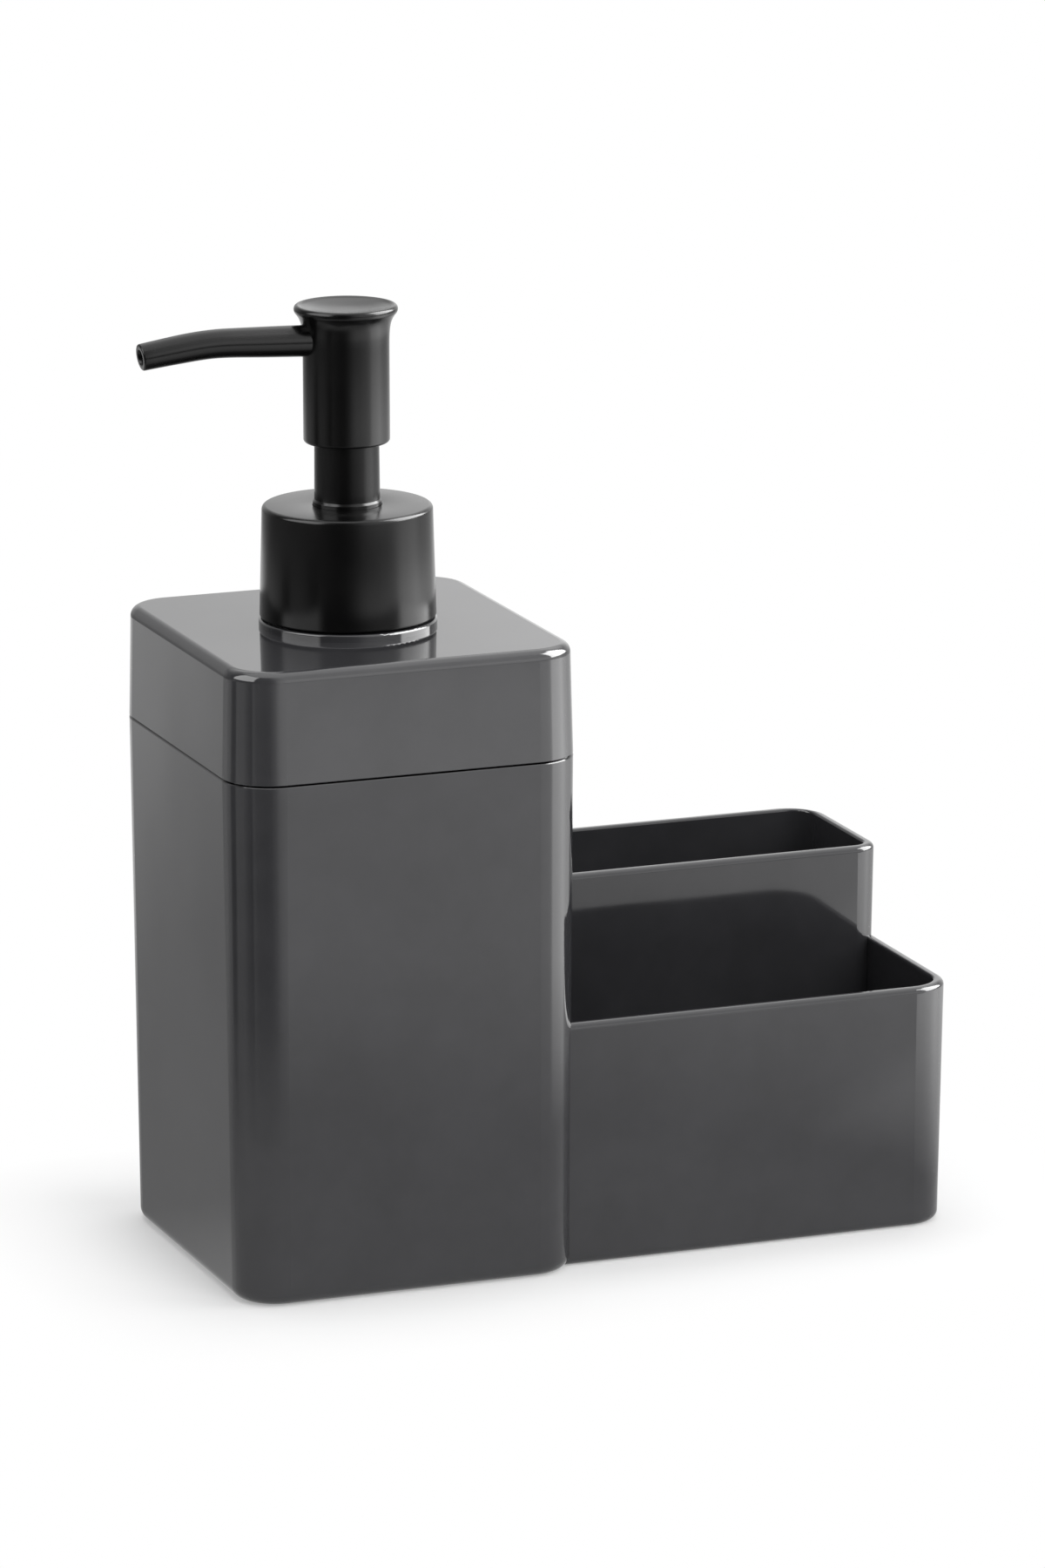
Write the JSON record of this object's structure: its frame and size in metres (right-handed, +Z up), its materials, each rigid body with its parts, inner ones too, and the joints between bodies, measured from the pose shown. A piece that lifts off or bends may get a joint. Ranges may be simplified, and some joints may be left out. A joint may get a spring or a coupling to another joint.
{
  "type": "soap dispenser",
  "caption": "Square bottle with a lotion pump and a threaded collar, with a low sponge pocket and a taller brush pocket moulded beside it.",
  "frame": {"origin": "on the pump's axis, in the plane that the bottle stands on", "axes": "+Z up along the pump's axis; -Y is the bottle's front; the pockets stand towards +X and the nozzle points towards -X"},
  "size_m": [0.1786, 0.0913, 0.2121],
  "materials": {
    "shell": "dark warm grey, high gloss",
    "cover": "dark warm grey, high gloss",
    "pump_black": "black, satin",
    "natural": "undyed, translucent white",
    "tube": "undyed, milky",
    "gasket": "soft foam white",
    "seal": "soft, undyed",
    "steel": "stainless steel, bright"
  },
  "bodies": {
    "bottle": {"body": "shell", "lid": "cover"},
    "pump": {"cylinder": "natural", "chimney": "pump_black", "neck_gasket": "gasket", "dip_tube": "tube"},
    "collar": {"collar_shell": "pump_black", "collar_insert": "natural"},
    "spring": {"return_spring": "steel"},
    "head": {"actuator_head": "pump_black", "stem": "pump_black", "piston_rod": "natural"},
    "piston": {"piston_seal": "seal"},
    "ball": {"check_ball": "steel"}
  },
  "joints": [
    {"name": "pump_rise", "type": "slide", "parent": "bottle", "child": "pump", "axis": [0, 0, 1], "range_m": [0, 0.00635]},
    {"name": "collar_unscrew", "type": "hinge", "parent": "pump", "child": "collar", "pos_m": [0, 0, 0.1433], "axis": [0, 0, 1], "range_deg": [0, 540]},
    {"name": "head_swivel", "type": "hinge", "parent": "pump", "child": "spring", "pos_m": [0, 0, 0.1209], "axis": [0, 0, 1], "continuous": true},
    {"name": "head_press", "type": "slide", "parent": "spring", "child": "head", "axis": [0, 0, -1], "range_m": [0, 0.0125], "stiffness_N_per_m": 500, "springref_m": -0.008, "deforming": ["return_spring"]},
    {"name": "piston_float", "type": "slide", "parent": "head", "child": "piston", "axis": [0, 0, 1], "range_m": [0, 0.001]},
    {"name": "ball_lift", "type": "slide", "parent": "pump", "child": "ball", "axis": [0, 0, 1], "range_m": [0, 0.0018]}
  ],
  "couplings": [
    {"joint": "pump_rise", "follows": "collar_unscrew", "m_per_rad": 0.0006737}
  ]
}
